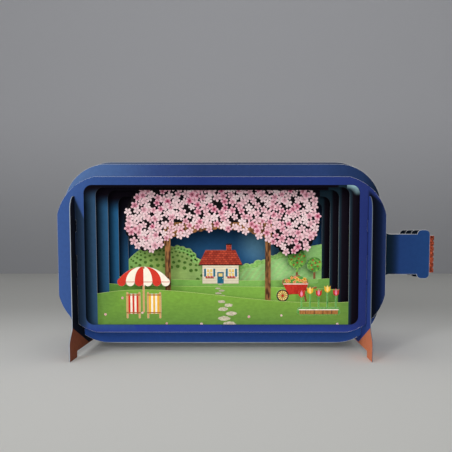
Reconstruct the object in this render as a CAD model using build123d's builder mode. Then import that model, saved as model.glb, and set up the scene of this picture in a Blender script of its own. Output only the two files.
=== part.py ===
import os

from build123d import *

# A stand-up pop-up greeting card in the form of a bottle lying on its side. Six upright card sheets
# are slices of the round bottle and slot into two side walls, whose lower corners are the feet.
# X runs along the bottle with the neck at +X, Y from front to back, Z up from the table.

# Card stock and fits
card = 0.5
cutout_card = 0.4
slot_play = 0.5
nip_play = 0.1

# Section of the bottle, round but a little squared, which sets the height of each sheet
bottle_half_height = 67.3
bottle_half_depth = 61.4
section_power = 2.5
table_gap = 3.7
sheet_pitch = 17.6
sheet_count = 6

# Outline of the sheets: straight edges with wide arcs at the corners. The corners of the front and
# the back are flatter than a quarter circle, and those of the sheets with the neck are round.
half_length = 113.0
end_corner_reach = 26.0
end_corner_radius = 33.8
neck_corner_radius = 31.0

# Neck and lip
neck_length = 35.2
neck_height = 28.8
neck_fillet = 7.0
lip_height = 34.8
lip_length = 9.0
lip_corner = 3.2

# Cork
cork_height = 26.8
cork_proud = 3.1
cork_lap = 8.0
nick_radius = 0.45
nick_count = 7

# Windows, from the front sheet to the fifth: the card left at each end and above
window_ends = [18.5, 22.5, 27.5, 31.7, 35.8]
window_headers = [5.7, 16.4, 20.5, 24.3, 24.5]
window_corner = 5.5
front_sill = 5.3

# Grass and hills below the windows of sheets two to five: their height above the lower edge of the
# sheet, at even steps from one side of the window to the other
lawn_heights = [35.5, 38.2, 34.0, 29.8, 29.5]
meadow_heights = [44.6, 42.6, 42.1, 40.1]
field_heights = [48.6, 46.1, 45.6, 47.1]
hill_heights = [58.0, 69.5, 56.0, 51.0, 61.0, 70.0]

# Bushes that stand up from the skyline of the hills: the share of its length where each one is, and
# its radius
hill_bushes = [(0.262, 2.6), (0.288, 3.4), (0.318, 4.0), (0.345, 2.8), (0.59, 2.8), (0.618, 3.6),
               (0.645, 2.6), (0.676, 4.2), (0.706, 3.0), (0.738, 4.4), (0.768, 3.2), (0.796, 3.8)]

# Side walls with the feet
wall_inset = 12.2
wall_proud = 13.0
wall_rise = 40.2
wall_top_radius = 10.0
wall_bottom = 4.3
foot_proud = 8.0
foot_length = 18.6
foot_slope_top = 21.0
foot_slope_bottom = 13.0
foot_bend = 5.0
foot_corner = 0.8

# Interlocking of sheets and walls
lock_bottom = 16.0
lock_height = 8.0
lock_play = 0.2
nip_drop = 19.0
nip_height = 4.0

# Flower arch: its posts stand off the ends of the window. The hanging edge of its blossom is given
# in shares of the window's half length and of the height of the window's top above the bottle axis.
left_post_end = 44.0
right_post_end = 52.5
post_width = 4.2
post_lap = 11.5
beam_share = 0.494
beam_depth = 3.6
brace_reach = 12.0
brace_width = 2.2
brace_bend_share = 1.15
canopy_lap = 4.4
canopy_start_share = -0.632
canopy_stop_share = 0.678
canopy_edge_shares = [(-0.772, 0.815), (-0.819, 0.515), (-0.749, 0.172), (-0.608, 0.107), (-0.503, 0.268),
                      (-0.257, 0.408), (0.0, 0.461), (0.234, 0.397), (0.421, 0.258), (0.55, 0.064),
                      (0.702, 0.139), (0.795, 0.429), (0.772, 0.773)]
blossom_radius = 3.6
blossom_count = 46

# Wheelbarrow, set off the right-hand end of its window: points are measured from its tub
barrow_end = 32.5
barrow_lap = 1.5
tub_corners = [(-9.0, 6.5), (10.5, 6.5), (7.0, -2.0), (-5.0, -2.0)]
wheel_center = (-9.0, -3.0)
wheel_radius = 4.6
handle_end = (16.5, 3.2)
barrow_leg = [(7.0, 0.0), (8.5, -7.4)]
rail_width = 1.4
heap_centers = [(-6.5, 7.0), (-2.2, 9.0), (2.5, 9.6), (7.0, 7.6)]
heap_radius = 2.8

# Cottage
cottage_x = -3.0
cottage_lap = 3.0
cottage_length = 28.0
cottage_height = 15.0
roof_corners = [(-17.0, 14.5), (17.0, 14.5), (11.5, 26.0), (-11.5, 26.0)]
chimney_foot = (6.5, 24.0)
chimney_width = 4.0
chimney_height = 7.0

# Round trees, set off the right-hand end of their window
tree_ends = [25.3, 11.8]
tree_crowns = [7.4, 5.8]
tree_trunks = [19.0, 14.5]
tree_lap = 3.6
trunk_width = 1.8
trunk_corner = 0.4
tuft_overhang = 3.0
tuft_height = 3.4
tuft_corner = 1.4

# Parasol, set off the left-hand end of its window, and the deck chairs beside its pole
parasol_end = 33.5
parasol_lap = 16.2
parasol_half_width = 19.0
parasol_rise = 11.0
pole_height = 33.0
pole_width = 1.5
pole_corner = 0.3
scallop_count = 6
scallop_gap = 0.1
chair_gap = 4.4
sling_width = 10.5
sling_height = 14.5
sling_drop = 1.0
sling_corner = 1.6
rail_inset = 0.9
chair_rail_width = 1.5
chair_rail_height = 19.1
chair_rail_drop = 4.4
chair_rail_corner = 0.6

# Tulip bed, set off the right-hand end of its window
tulip_end = 21.5
tulip_lap = 6.5
tulip_pitch = 6.2
stem_heights = [10.5, 13.0, 11.2, 14.0, 11.6]
stem_width = 1.1
stem_corner = 0.3
petal_corners = [(0.0, 0.0), (2.0, 1.4), (2.3, 5.2), (1.0, 3.8), (0.0, 5.6), (-1.0, 3.8), (-2.3, 5.2),
                 (-2.0, 1.4)]
petal_lap = 0.8
leaf_height = 5.6
leaf_drop = 3.0
leaf_corner = 2.4


def half_height(y):
    # Half the height of the bottle where a sheet cuts it
    return bottle_half_height * (1 - (abs(y) / bottle_half_depth) ** section_power) ** (1 / section_power)


# The widest reach each way puts the origin under the middle of the whole card
wall_reach = half_length - wall_inset
lip_end = half_length + neck_length
neck_end = lip_end + cork_proud
mid_x = (half_length - neck_end) / 2
sheet_ys = [(i - (sheet_count - 1) / 2) * sheet_pitch for i in range(sheet_count)]
axis_height = half_height(sheet_pitch / 2) + table_gap
slot_width = card + 2 * slot_play
wall_top = axis_height + wall_rise

# Half the length of each window, and where the cut-outs stand along the bottle
window_half_lengths = [half_length - end for end in window_ends]
parasol_x = parasol_end - window_half_lengths[1]
tulip_x = window_half_lengths[1] - tulip_end
post_left = left_post_end - window_half_lengths[2]
post_right = window_half_lengths[2] - right_post_end
barrow_x = window_half_lengths[2] - barrow_end
tree_xs = [window_half_lengths[3] - end for end in tree_ends]

# Heights above the bottle axis: window tops, skylines, and the foot of each cut-out
window_tops = [half_height(y) - header for y, header in zip(sheet_ys, window_headers)]
lawn_line = [height - half_height(sheet_ys[1]) for height in lawn_heights]
meadow_line = [height - half_height(sheet_ys[2]) for height in meadow_heights]
field_line = [height - half_height(sheet_ys[3]) for height in field_heights]
hill_line = [height - half_height(sheet_ys[4]) for height in hill_heights]
canopy_top = window_tops[2] + canopy_lap
canopy_edge = [(across * window_half_lengths[2], up * window_tops[2]) for across, up in canopy_edge_shares]
beam_z = beam_share * window_tops[2]
post_foot = meadow_line[1] - post_lap
barrow_z = meadow_line[-1] - barrow_lap
cottage_z = field_line[1] - cottage_lap
tree_z = field_line[-1] - tree_lap
parasol_z = lawn_line[1] - parasol_lap
tulip_z = lawn_line[-1] - tulip_lap


def upright(y):
    # Drawing plane of a sheet: its origin is the bottle axis and it faces the front
    return Plane(origin=(mid_x, y, axis_height), x_dir=(1, 0, 0), z_dir=(0, -1, 0))


def sheet_back(i):
    return upright(sheet_ys[i] + card / 2)


def sheet_front(i):
    return upright(sheet_ys[i] - card / 2)


def body_outline(i, corner_reach, corner_radius):
    # One slice of the bottle's body, with corners that are single wide arcs
    height = half_height(sheet_ys[i])
    with BuildSketch() as outline:
        with BuildLine():
            top = Line((0, height), (half_length - corner_reach, height))
            shoulder = RadiusArc(top @ 1, (half_length, height - corner_reach), corner_radius)
            side = Line(shoulder @ 1, (half_length, corner_reach - height))
            heel = RadiusArc(side @ 1, (half_length - corner_reach, -height), corner_radius)
            Line(heel @ 1, (0, -height))
            mirror(about=Plane.YZ)
        make_face()
    return outline.sketch


def end_outline(i):
    return body_outline(i, end_corner_reach, end_corner_radius)


def neck_outline(i):
    # A slice with the neck and the rounded lip at its right-hand end
    nearby = 0.1
    with BuildSketch() as outline:
        add(body_outline(i, neck_corner_radius, neck_corner_radius))
        with Locations((half_length, 0)):
            Rectangle(neck_length - lip_length / 2, neck_height, align=(Align.MIN, Align.CENTER))
        fillet([p for p in outline.vertices()
                if abs(p.X - half_length) < nearby and abs(p.Y) < neck_height / 2 + nearby], neck_fillet)
        with Locations((lip_end, 0)):
            RectangleRounded(lip_length, lip_height, lip_corner, align=(Align.MAX, Align.CENTER))
    return outline.sketch


def wall_slots(i):
    # Slots that open at the lower corners, a nip that steadies each wall, and a slit for each lock tab
    with BuildSketch() as slots:
        for side in (-1, 1):
            with Locations((side * wall_reach, 0)):
                Rectangle(slot_width, half_height(sheet_ys[i]), align=(Align.CENTER, Align.MAX))
            with Locations((side * wall_reach, -nip_drop)):
                Rectangle(slot_width, nip_height, mode=Mode.SUBTRACT)
                Rectangle(card + 2 * nip_play, nip_height)
            with Locations((side * wall_reach, lock_bottom - lock_play)):
                Rectangle(slot_width, lock_height + 2 * lock_play, align=(Align.CENTER, Align.MIN))
    return slots.sketch


def opening(i, skyline=(), bushes=()):
    # Window of one sheet, with its lower edge cut along a skyline and its bushes where there are any
    half, top = window_half_lengths[i], window_tops[i]
    bottom = front_sill - half_height(sheet_ys[0])
    with BuildSketch() as window:
        with Locations((0, bottom)):
            RectangleRounded(2 * half, top - bottom, window_corner, align=(Align.CENTER, Align.MIN))
        if skyline:
            step = 2 * half / (len(skyline) - 1)
            below = bottom - window_corner
            with BuildLine():
                ridge = Spline(*[(n * step - half, height) for n, height in enumerate(skyline)])
                Polyline(ridge @ 1, (half, below), (-half, below), ridge @ 0)
            make_face(mode=Mode.SUBTRACT)
            for share, radius in bushes:
                with Locations(ridge @ share):
                    Circle(radius, mode=Mode.SUBTRACT)
    return window.sketch


def neck_frame(i, skyline, bushes=()):
    # A sheet with the neck, its window above the skyline, and its slots
    with BuildSketch() as frame:
        add(neck_outline(i))
        add(opening(i, skyline, bushes), mode=Mode.SUBTRACT)
        add(wall_slots(i), mode=Mode.SUBTRACT)
    return frame.sketch


def standing_bar(width, height, corner):
    # A bar that stands on its lower end, with rounded corners
    RectangleRounded(width, height, corner, align=(Align.CENTER, Align.MIN))


def placed(points, x, z):
    # A list of points moved to where a cut-out stands
    return [(x + across, z + up) for across, up in points]


# Front frame
with BuildPart() as front_frame:
    with BuildSketch(sheet_back(0)):
        add(end_outline(0))
        add(opening(0), mode=Mode.SUBTRACT)
        add(wall_slots(0), mode=Mode.SUBTRACT)
    extrude(amount=card)

# Frames with the neck, each with its own skyline
with BuildPart() as lawn_frame:
    with BuildSketch(sheet_back(1)):
        add(neck_frame(1, lawn_line))
    extrude(amount=card)

with BuildPart() as meadow_frame:
    with BuildSketch(sheet_back(2)):
        add(neck_frame(2, meadow_line))
    extrude(amount=card)

with BuildPart() as field_frame:
    with BuildSketch(sheet_back(3)):
        add(neck_frame(3, field_line))
    extrude(amount=card)

with BuildPart() as hill_frame:
    with BuildSketch(sheet_back(4)):
        add(neck_frame(4, hill_line, hill_bushes))
    extrude(amount=card)

# Back panel, whole, for the sky
with BuildPart() as sky_panel:
    with BuildSketch(sheet_back(5)):
        add(end_outline(5))
        add(wall_slots(5), mode=Mode.SUBTRACT)
    extrude(amount=card)


def wall_profile():
    # One side wall seen from its side: Y across and Z up from the table
    edge = sheet_ys[-1] + wall_proud
    toe = edge + foot_proud
    heel = toe - foot_length
    nearby = 0.1
    with BuildSketch() as profile:
        with BuildLine():
            Polyline(
                (0, wall_top),
                (edge, wall_top),
                (edge, foot_slope_top),
                (toe, foot_slope_bottom),
                (toe, 0),
                (heel, 0),
                (heel, wall_bottom),
                (0, wall_bottom),
            )
            mirror(about=Plane.YZ)
        make_face()
        fillet(profile.vertices().group_by(Axis.Y)[-1], wall_top_radius)
        bends = [p for p in profile.vertices() if foot_slope_bottom - nearby < p.Y < foot_slope_top + nearby]
        fillet(bends, foot_bend)
        fillet([p for p in profile.vertices() if p.Y < wall_bottom + nearby], foot_corner)
    return profile.sketch


def sheet_slots():
    # Slots for the six sheets, open at the top, each closed part-way up by a lock tab
    tab = axis_height + lock_bottom
    with BuildSketch() as slots:
        for y in sheet_ys:
            with Locations((y, axis_height)):
                Rectangle(slot_width, lock_bottom, align=(Align.CENTER, Align.MIN))
            with Locations((y, tab + lock_height)):
                Rectangle(slot_width, wall_top - tab, align=(Align.CENTER, Align.MIN))
    return slots.sketch


# Side walls
with BuildPart() as left_side_wall:
    with BuildSketch(Plane.YZ.offset(mid_x - wall_reach - card / 2)):
        add(wall_profile())
        add(sheet_slots(), mode=Mode.SUBTRACT)
    extrude(amount=card)

with BuildPart() as right_side_wall:
    with BuildSketch(Plane.YZ.offset(mid_x + wall_reach - card / 2)):
        add(wall_profile())
        add(sheet_slots(), mode=Mode.SUBTRACT)
    extrude(amount=card)

# Cork, glued behind the lip of the second sheet, with a nicked outer edge
with BuildPart() as cork_tab:
    with BuildSketch(upright(sheet_ys[1] + card / 2 + cutout_card)):
        with Locations((neck_end, 0)):
            Rectangle(cork_lap + cork_proud, cork_height, align=(Align.MAX, Align.CENTER))
        nick_pitch = cork_height / nick_count
        with Locations(*[(neck_end, (n + 1) * nick_pitch - cork_height / 2) for n in range(nick_count - 1)]):
            Circle(nick_radius, mode=Mode.SUBTRACT)
    extrude(amount=cutout_card)

# Flower arch: two posts, a beam with curved braces, and the scalloped blossom above them
with BuildPart() as flower_arch:
    with BuildSketch(sheet_front(2)):
        with BuildLine():
            hanging = Spline((canopy_start_share * window_half_lengths[2], canopy_top), *canopy_edge,
                             (canopy_stop_share * window_half_lengths[2], canopy_top))
            Line(hanging @ 1, hanging @ 0)
        make_face()
        with Locations(*[hanging @ (n / blossom_count) for n in range(blossom_count + 1)]):
            Circle(blossom_radius)
        with Locations((post_left, post_foot), (post_right, post_foot)):
            Rectangle(post_width, beam_z - post_foot, align=(Align.CENTER, Align.MIN))
        with Locations(((post_left + post_right) / 2, beam_z)):
            Rectangle(post_right - post_left, beam_depth, align=(Align.CENTER, Align.MAX))
        brace_top = beam_z - beam_depth
        for post, inward in ((post_left, brace_reach), (post_right, -brace_reach)):
            with BuildLine():
                RadiusArc((post, brace_top - brace_reach), (post + inward, brace_top),
                          inward * brace_bend_share)
            trace(line_width=brace_width)
    extrude(amount=cutout_card)

# Wheelbarrow heaped with flowers
with BuildPart() as wheelbarrow:
    with BuildSketch(sheet_front(2)):
        with BuildLine():
            Polyline(*placed(tub_corners, barrow_x, barrow_z), close=True)
        make_face()
        with Locations(*placed([wheel_center], barrow_x, barrow_z)):
            Circle(wheel_radius)
        for rail in ([wheel_center, handle_end], barrow_leg):
            with BuildLine():
                Line(*placed(rail, barrow_x, barrow_z))
            trace(line_width=rail_width)
        with Locations(*placed(heap_centers, barrow_x, barrow_z)):
            Circle(heap_radius)
    extrude(amount=cutout_card)

# Cottage with a hipped roof and a chimney
with BuildPart() as cottage:
    with BuildSketch(sheet_front(3)):
        with Locations((cottage_x, cottage_z)):
            Rectangle(cottage_length, cottage_height, align=(Align.CENTER, Align.MIN))
        with BuildLine():
            Polyline(*placed(roof_corners, cottage_x, cottage_z), close=True)
        make_face()
        with Locations(*placed([chimney_foot], cottage_x, cottage_z)):
            Rectangle(chimney_width, chimney_height, align=(Align.CENTER, Align.MIN))
    extrude(amount=cutout_card)

# Round trees on thin trunks, joined by a tuft of grass
with BuildPart() as round_trees:
    with BuildSketch(sheet_front(3)):
        with Locations(((tree_xs[0] + tree_xs[-1]) / 2, tree_z)):
            standing_bar(tree_xs[-1] - tree_xs[0] + 2 * tuft_overhang, tuft_height, tuft_corner)
        for x, crown, trunk in zip(tree_xs, tree_crowns, tree_trunks):
            with Locations((x, tree_z)):
                standing_bar(trunk_width, trunk, trunk_corner)
            with Locations((x, tree_z + trunk)):
                Circle(crown)
    extrude(amount=cutout_card)

# Parasol on its pole, with a scalloped edge
with BuildPart() as parasol:
    with BuildSketch(sheet_front(1)):
        with Locations((parasol_x, parasol_z)):
            standing_bar(pole_width, pole_height, pole_corner)
        eaves = parasol_z + pole_height - parasol_rise
        with BuildLine():
            dome = ThreePointArc((parasol_x - parasol_half_width, eaves), (parasol_x, eaves + parasol_rise),
                                 (parasol_x + parasol_half_width, eaves))
            Line(dome @ 1, dome @ 0)
        make_face()
        scallop_pitch = 2 * parasol_half_width / scallop_count
        with Locations(*[(parasol_x + (n - (scallop_count - 1) / 2) * scallop_pitch, eaves)
                         for n in range(scallop_count)]):
            Circle(scallop_pitch / 2 - scallop_gap)
    extrude(amount=cutout_card)


def deck_chair(side):
    # One chair seen from the front: the sling between two rails that end in legs
    x = parasol_x + side * (chair_gap + sling_width) / 2
    rail_reach = sling_width / 2 - rail_inset
    rail_foot = parasol_z - chair_rail_drop
    with BuildSketch() as chair:
        with Locations((x, parasol_z - sling_drop)):
            standing_bar(sling_width, sling_height, sling_corner)
        with Locations((x - rail_reach, rail_foot), (x + rail_reach, rail_foot)):
            standing_bar(chair_rail_width, chair_rail_height, chair_rail_corner)
    return chair.sketch


# Deck chairs, one on each side of the pole
with BuildPart() as left_deck_chair:
    with BuildSketch(sheet_front(1)):
        add(deck_chair(-1))
    extrude(amount=cutout_card)

with BuildPart() as right_deck_chair:
    with BuildSketch(sheet_front(1)):
        add(deck_chair(1))
    extrude(amount=cutout_card)

# Bed of tulips
with BuildPart() as tulip_bed:
    with BuildSketch(sheet_front(1)):
        with Locations((tulip_x, tulip_z - leaf_drop)):
            standing_bar(tulip_pitch * len(stem_heights), leaf_height, leaf_corner)
        for n, stem in enumerate(stem_heights):
            x = tulip_x + (n - (len(stem_heights) - 1) / 2) * tulip_pitch
            with Locations((x, tulip_z)):
                standing_bar(stem_width, stem, stem_corner)
            with BuildLine():
                Polyline(*placed(petal_corners, x, tulip_z + stem - petal_lap), close=True)
            make_face()
    extrude(amount=cutout_card)

pieces = {
    "front_frame": front_frame,
    "lawn_frame": lawn_frame,
    "meadow_frame": meadow_frame,
    "field_frame": field_frame,
    "hill_frame": hill_frame,
    "sky_panel": sky_panel,
    "left_side_wall": left_side_wall,
    "right_side_wall": right_side_wall,
    "cork_tab": cork_tab,
    "flower_arch": flower_arch,
    "wheelbarrow": wheelbarrow,
    "cottage": cottage,
    "round_trees": round_trees,
    "parasol": parasol,
    "left_deck_chair": left_deck_chair,
    "right_deck_chair": right_deck_chair,
    "tulip_bed": tulip_bed,
}

os.makedirs("parts", exist_ok=True)
for name, piece in pieces.items():
    piece.part.label = name
    export_step(piece.part, f"parts/{name}.step")
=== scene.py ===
import bpy, bmesh, math
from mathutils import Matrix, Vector
from mathutils.bvhtree import BVHTree


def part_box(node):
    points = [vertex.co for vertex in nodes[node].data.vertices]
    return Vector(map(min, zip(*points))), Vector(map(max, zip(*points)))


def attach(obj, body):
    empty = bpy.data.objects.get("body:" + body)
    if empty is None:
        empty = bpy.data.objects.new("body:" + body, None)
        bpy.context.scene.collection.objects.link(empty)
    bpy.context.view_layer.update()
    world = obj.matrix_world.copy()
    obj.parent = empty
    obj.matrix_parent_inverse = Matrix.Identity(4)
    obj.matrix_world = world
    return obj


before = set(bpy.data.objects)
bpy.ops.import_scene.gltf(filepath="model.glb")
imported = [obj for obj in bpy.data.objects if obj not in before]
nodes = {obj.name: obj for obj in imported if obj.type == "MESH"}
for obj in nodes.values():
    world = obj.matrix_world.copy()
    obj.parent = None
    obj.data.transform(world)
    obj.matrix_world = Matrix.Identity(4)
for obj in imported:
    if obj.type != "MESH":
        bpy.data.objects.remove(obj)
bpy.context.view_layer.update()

# The bottle axis is the middle of the front frame. Prints are laid out from it, in millimetres.
mm = 0.001
frontLow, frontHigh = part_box("front_frame")
axisX, axisZ = (frontLow.x + frontHigh.x) / 2, (frontLow.z + frontHigh.z) / 2


def linear(hexColour):  # sRGB hex to the linear colour that sockets want
    parts = [int(hexColour[i:i + 2], 16) / 255 for i in (1, 3, 5)]
    return [p / 12.92 if p <= 0.04045 else ((p + 0.055) / 1.055) ** 2.4 for p in parts] + [1]


def addNode(tree, kind, inputs=(), **settings):
    # one node: inputs are values, hex colours, sockets, or nodes whose first output in use is linked. Every
    # Mix here is of colours, with its share at input 0 and its two colours at 6 and 7.
    node = tree.nodes.new(kind if "Node" in kind else "ShaderNode" + kind)
    if kind == "Mix":
        node.data_type = "RGBA"
    for name, value in settings.items():
        setattr(node, name, value)
    for key, value in (inputs.items() if isinstance(inputs, dict) else enumerate(inputs)):
        if isinstance(value, bpy.types.Node):
            value = next(output for output in value.outputs if output.enabled)
        if isinstance(value, bpy.types.NodeSocket):
            tree.links.new(value, node.inputs[key])
        else:
            isColour = isinstance(value, str) and value.startswith("#")
            node.inputs[key].default_value = linear(value) if isColour else value
    return node


def addObject(name, data):
    thing = bpy.data.objects.new(name, data)
    bpy.context.scene.collection.objects.link(thing)
    return thing


smooth = {"interpolation_type": "SMOOTHSTEP"}  # for a Map Range with eased ends

# Camera at the photograph's angle: a little above the middle of the card, looking slightly down
camera = {"lens": 50.8, "sensor": 36, "nearest": 0.01, "shift": (-0.042, 0.127),
          "place": (axisX + 0.0159, -0.484, 0.0866), "pitch": 4.6}
cameraData = bpy.data.cameras.new("cardCamera")
cameraData.lens, cameraData.sensor_width = camera["lens"], camera["sensor"]
cameraData.shift_x, cameraData.shift_y = camera["shift"]
cameraData.clip_start = camera["nearest"]
cameraObject = addObject("cardCamera", cameraData)
cameraObject.location = camera["place"]
cameraObject.rotation_euler = (math.radians(90 - camera["pitch"]), 0, 0)
bpy.context.scene.camera = cameraObject

# A softbox up to the left of the camera, a fill beside it, one lamp overhead, and an even pale room
studio = {
    "aim": (0, 0, 0.07),
    "lamps": {"softbox": ((-0.44, -0.90, 0.46), 0.16, 2.3),  # place, size and power
              "fill": ((0.00, -1.10, 0.24), 0.38, 7.0),
              "overhead": ((0.00, 0.00, 1.60), 1.40, 4.5)},
    "room": 0.22, "halfWidth": 3, "nearSide": -2, "wallDistance": 0.85, "wallHeight": 2.5,
    "paintRoughness": 0.9,
    # painted light: the floor's paint is lightest at a middle by the card, a painted pool of light, and the
    # backdrop's is lighter upwards, a painted fall-off of the lamps: middle, how much each axis counts,
    # reach, the two colours
    "floor": ((-0.03, -0.05, 0), (0.5, 1, 0), 0.36, "#ECECE8", "#C3C3BF"),
    "backdrop": ((0, 0, 0), (0, 0, 1), 0.36, "#999A9E", "#BABBC0"),
}
for name, (place, size, power) in studio["lamps"].items():
    lampData = bpy.data.lights.new(name, "AREA")
    lampData.shape, lampData.size, lampData.energy = "SQUARE", size, power
    lamp = addObject(name, lampData)
    lamp.location = place
    lamp.rotation_euler = (Vector(studio["aim"]) - lamp.location).to_track_quat("-Z", "Y").to_euler()
world = bpy.data.worlds.new("studioRoom")
bpy.context.scene.world = world
world.use_nodes = True
background = world.node_tree.nodes["Background"]
background.inputs["Color"].default_value = (1, 1, 1, 1)
background.inputs["Strength"].default_value = studio["room"]
bpy.context.scene.view_settings.view_transform = "Standard"

wide, near, far, tall = [studio[key] for key in ("halfWidth", "nearSide", "wallDistance", "wallHeight")]
floorCorners = [(-wide, near, 0), (wide, near, 0), (wide, far, 0), (-wide, far, 0)]
wallCorners = [(-wide, far, 0), (wide, far, 0), (wide, far, tall), (-wide, far, tall)]
for name, corners in (("floor", floorCorners), ("backdrop", wallCorners)):
    stageMesh = bpy.data.meshes.new(name)
    stageMesh.from_pydata(corners, [], [(0, 1, 2, 3)])
    stageObject = addObject(name, stageMesh)
    paint = bpy.data.materials.new(name + "Paint")  # matt paint with painted light: a painted pool of light on the floor, a painted fall-off on the backdrop
    paint.use_nodes = True
    tree = paint.node_tree
    middle, weights, reach, inner, outer = studio[name]
    offset = addNode(tree, "VectorMath", [addNode(tree, "TexCoord").outputs["Object"], middle],
                     operation="SUBTRACT")
    counted = addNode(tree, "VectorMath", [offset, weights], operation="MULTIPLY")
    away = addNode(tree, "VectorMath", [counted], operation="LENGTH")
    share = addNode(tree, "MapRange", [away, 0, reach, 0, 1], **smooth)
    paintedLightFall = addNode(tree, "Mix", {0: share, 6: inner, 7: outer})
    shader = tree.nodes["Principled BSDF"]
    tree.links.new(paintedLightFall.outputs[2], shader.inputs["Base Color"])
    shader.inputs["Roughness"].default_value = studio["paintRoughness"]
    stageMesh.materials.append(paint)
print("camera, light and floor ready")


# Coated card: solid bleached board, offset printed and sealed with a matt varnish. It gives deep even
# colour with hardly any sheen, a faint mottle in the ink, and a pale fibrous core where the die has cut it.
# Lengths are millimetres, and the ranges are levels of the noise between which the two tones blend. A face
# is a cut edge where less of its normal than facing says points along the sheet's own axis.
cardFinish = {
    "roughness": 0.6, "specular": 0.03, "core": "#E3E4E4", "coreShade": "#BFC3C6", "facing": 0.9,
    "mottle": 2.6, "mottleRange": (0.3, 0.7), "mottleDepth": 0.05, "strokeRange": (0.36, 0.64),
    "tooth": 0.45, "toothStrength": 0.12, "toothHeight": 0.02,
    "weld": 0.002, "rimAngle": 50, "frontRim": 0.08, "otherRim": 0.13, "wallRim": 0.1, "cutOutRim": 0.05,
}


def startPrint(name):
    # a new material and its places on the card, in millimetres from the bottle axis
    material = bpy.data.materials.new(name)
    material.use_nodes = True
    tree = material.node_tree
    place = addNode(tree, "Mapping", {0: addNode(tree, "TexCoord").outputs["Object"],
                                      1: (-axisX / mm, 0, -axisZ / mm), 3: (1 / mm,) * 3})
    return material, tree, place


def faceNormal(tree):  # the way a face points, by axis
    return addNode(tree, "SeparateXYZ", [addNode(tree, "NewGeometry").outputs["True Normal"]]).outputs


def distanceTo(tree, place, point):  # how far each place on a sheet is from one point of it
    flat = addNode(tree, "VectorMath", [place, (1, 0, 1)], operation="MULTIPLY")
    return addNode(tree, "VectorMath", [flat, point], operation="DISTANCE")


def patchShade(tree, place, scale):  # one random level for each patch of a mosaic
    patches = addNode(tree, "TexVoronoi", {0: place, 2: scale})
    return addNode(tree, "SeparateColor", [patches.outputs["Color"]])


def setStops(ramp, stops):  # the stops of a colour ramp: places from 0 to 1, each with its colour
    elements = ramp.color_ramp.elements
    elements.remove(elements[1])
    elements[0].position, elements[0].color = 0, linear(stops[0][1])
    for at, colour in stops:
        elements.new(at).color = linear(colour)


def varnish(tree, colour):  # the matt varnish over a print
    shader = tree.nodes["Principled BSDF"]
    tree.links.new(colour.outputs[2], shader.inputs["Base Color"])
    shader.inputs["Roughness"].default_value = cardFinish["roughness"]
    shader.inputs["Specular IOR Level"].default_value = cardFinish["specular"]
    return shader


def finishPrint(material, place, colour, faceAxis="Y", edge=None):
    # ink mottle, paper tooth, and on every cut edge the bare core or the colour given for it
    tree = material.node_tree
    mottle = addNode(tree, "TexNoise", {0: place, 2: 1 / cardFinish["mottle"], 3: 3})
    depth = cardFinish["mottleDepth"]
    level = addNode(tree, "MapRange", [mottle, *cardFinish["mottleRange"], 1 - depth, 1 + depth])
    inked = addNode(tree, "Mix", {0: 1.0, 6: colour, 7: level}, blend_type="MULTIPLY")
    fibre = addNode(tree, "TexNoise", {0: place, 2: 1 / cardFinish["tooth"], 3: 2})
    core = addNode(tree, "Mix", {0: fibre, 6: cardFinish["coreShade"], 7: cardFinish["core"]})
    straight = addNode(tree, "Math", [faceNormal(tree)[faceAxis]], operation="ABSOLUTE")
    cut = addNode(tree, "Math", [straight, cardFinish["facing"]], operation="LESS_THAN")
    shown = addNode(tree, "Mix", {0: cut, 6: inked, 7: edge or core})
    bump = addNode(tree, "Bump", {"Strength": cardFinish["toothStrength"], "Height": fibre,
                                  "Distance": cardFinish["toothHeight"] * mm})
    tree.links.new(bump.outputs[0], varnish(tree, shown).inputs["Normal"])
    return material


def dress(name, material, rimWidth=cardFinish["otherRim"]):
    # a CAD node keeps its shape and gets its print, and a narrow rim where the die has pressed its edges
    node = nodes[name]
    weld = node.modifiers.new("weld", "WELD")
    weld.merge_threshold = cardFinish["weld"] * mm
    rim = node.modifiers.new("rim", "BEVEL")
    rim.width = rimWidth * mm
    rim.use_clamp_overlap = False
    rim.limit_method = "ANGLE"
    rim.angle_limit = math.radians(cardFinish["rimAngle"])
    node.data.materials.clear()
    node.data.materials.append(material)
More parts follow.
